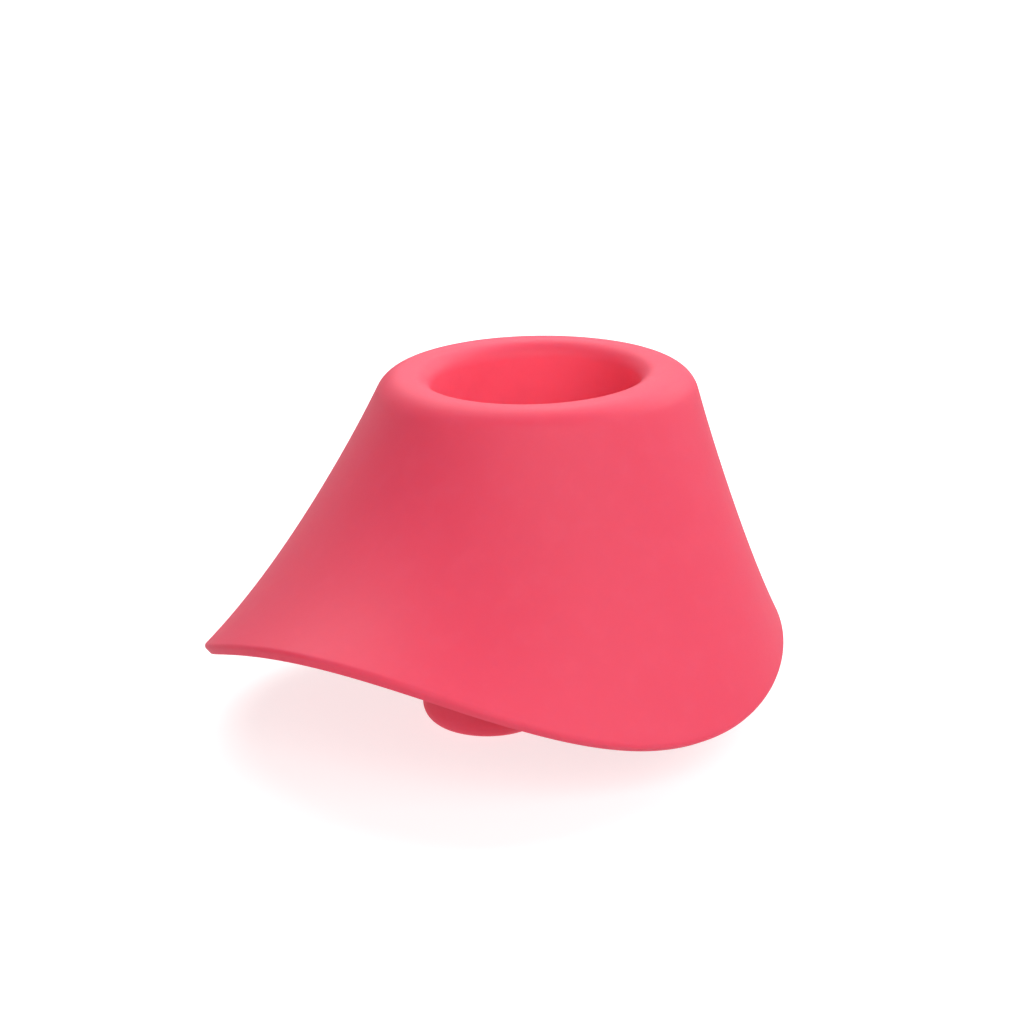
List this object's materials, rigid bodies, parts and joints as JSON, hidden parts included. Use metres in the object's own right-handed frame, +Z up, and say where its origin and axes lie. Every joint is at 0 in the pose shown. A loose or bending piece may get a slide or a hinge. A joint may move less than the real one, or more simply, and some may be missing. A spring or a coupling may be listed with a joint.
{
  "type": "silicone suction massage head",
  "caption": "Soft suction head: an oval mouth with a rolled lip, a flared saddle-shaped skirt and a round plug-on neck with a nozzle socket.",
  "frame": {"origin": "centre of the neck's end, where the nozzle enters", "axes": "+Z up the neck's axis and out of the mouth, +X towards the skirt's higher arch; the head is the same on both sides of the XZ plane"},
  "size_m": [0.0522, 0.0472, 0.0287],
  "materials": {
    "coral_silicone": "matt",
    "cup_silicone": "matt",
    "carrier_plastic": "satin",
    "seal_rubber": "matt"
  },
  "bodies": {
    "root": {"skirt_shell": "coral_silicone", "neck_boot": "coral_silicone", "cup_liner": "cup_silicone", "core_carrier": "carrier_plastic", "seal_ring": "seal_rubber"}
  },
  "joints": []
}
